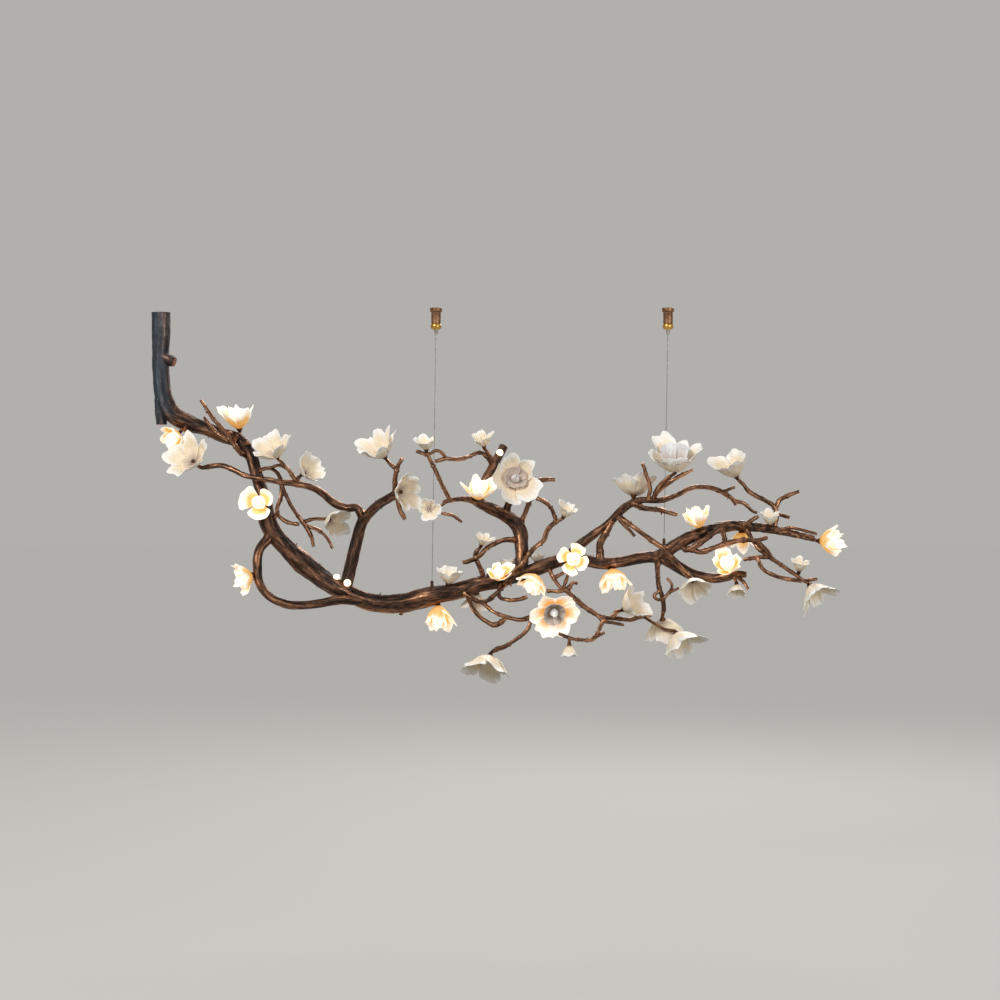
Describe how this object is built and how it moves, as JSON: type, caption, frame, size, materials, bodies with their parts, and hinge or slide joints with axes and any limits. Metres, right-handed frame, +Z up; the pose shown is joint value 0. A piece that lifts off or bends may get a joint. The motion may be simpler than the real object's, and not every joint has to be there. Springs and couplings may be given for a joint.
{
  "type": "branch chandelier",
  "caption": "Ceiling light shaped as a bronzed metal branch, hung level on steel cables and fixed by its bent trunk, with pale cupped blossoms on twigs, some around a lamp.",
  "frame": {"origin": "on the ceiling plane, midway between the screw holes of the two cable grippers", "axes": "+Z up, square to the ceiling; +X along the branch from its trunk towards its tip; -Y is the side seen in the picture"},
  "size_m": [1.7522, 0.335, 0.9377],
  "materials": {
    "bronzed_copper": "brown patinated, rubbed on high spots",
    "porcelain": "bisque, warm white",
    "lamp_silicone": "clear silicone",
    "bead_glass": "frosted",
    "holder_ceramic": "matte",
    "gripper_brass": "satin",
    "plated_steel": "zinc plated",
    "steel_cable": "bright strand",
    "terminal_plastic": "matte",
    "driver_case": "matte"
  },
  "bodies": {
    "chandelier": {"bead_lamps": "bead_glass", "bracket_post": "bronzed_copper", "bracket_twigs": "bronzed_copper", "calyx_cups": "bronzed_copper", "ceiling_plate": "plated_steel", "centre_buttons": "bronzed_copper", "crown_limb": "bronzed_copper", "crown_post": "bronzed_copper", "crown_twigs": "bronzed_copper", "lamp_capsules": "lamp_silicone", "lamp_holders": "holder_ceramic", "led_driver": "driver_case", "left_arm": "bronzed_copper", "left_blossoms": "porcelain", "left_cable": "steel_cable", "left_cable_anchor": "bronzed_copper", "left_ceiling_cup": "gripper_brass", "left_gripper_body": "gripper_brass", "left_return_spring": "plated_steel", "left_twigs": "bronzed_copper", "lit_blossom_arch_right": "porcelain", "lit_blossom_crown_left": "porcelain", "lit_blossom_fork_back": "porcelain", "lit_blossom_fork_front": "porcelain", "lit_blossom_heart": "porcelain", "lit_blossom_knot": "porcelain", "lit_blossom_limb_front": "porcelain", "lit_blossom_limb_left": "porcelain", "lit_blossom_limb_middle": "porcelain", "lit_blossom_limb_under": "porcelain", "lit_blossom_loop": "porcelain", "lit_blossom_tip_end": "porcelain", "lit_blossom_trunk_back": "porcelain", "lit_blossom_under_middle": "porcelain", "lit_blossom_under_right": "porcelain", "lower_loop": "bronzed_copper", "lower_right_limb": "bronzed_copper", "main_limb": "bronzed_copper", "middle_blossoms": "porcelain", "middle_limb": "bronzed_copper", "right_arm": "bronzed_copper", "right_blossoms": "porcelain", "right_cable": "steel_cable", "right_cable_anchor": "bronzed_copper", "right_ceiling_cup": "gripper_brass", "right_gripper_body": "gripper_brass", "right_return_spring": "plated_steel", "right_twigs": "bronzed_copper", "small_blossoms": "porcelain", "terminal_block": "terminal_plastic", "tip_limb": "bronzed_copper", "tip_twigs": "bronzed_copper", "trunk": "bronzed_copper", "trunk_grub_screws": "plated_steel", "under_twigs": "bronzed_copper", "upper_branch": "bronzed_copper"},
    "left_release": {"left_release_plunger": "gripper_brass", "left_clamp_jaws": "plated_steel"},
    "right_release": {"right_release_plunger": "gripper_brass", "right_clamp_jaws": "plated_steel"}
  },
  "joints": [
    {"name": "left_release_slide", "type": "slide", "parent": "chandelier", "child": "left_release", "axis": [0, 0, 1], "range_m": [0, 0.003], "stiffness_N_per_m": 600, "springref_m": -0.002, "deforming": ["left_return_spring"]},
    {"name": "right_release_slide", "type": "slide", "parent": "chandelier", "child": "right_release", "axis": [0, 0, 1], "range_m": [0, 0.003], "stiffness_N_per_m": 600, "springref_m": -0.002, "deforming": ["right_return_spring"]}
  ]
}
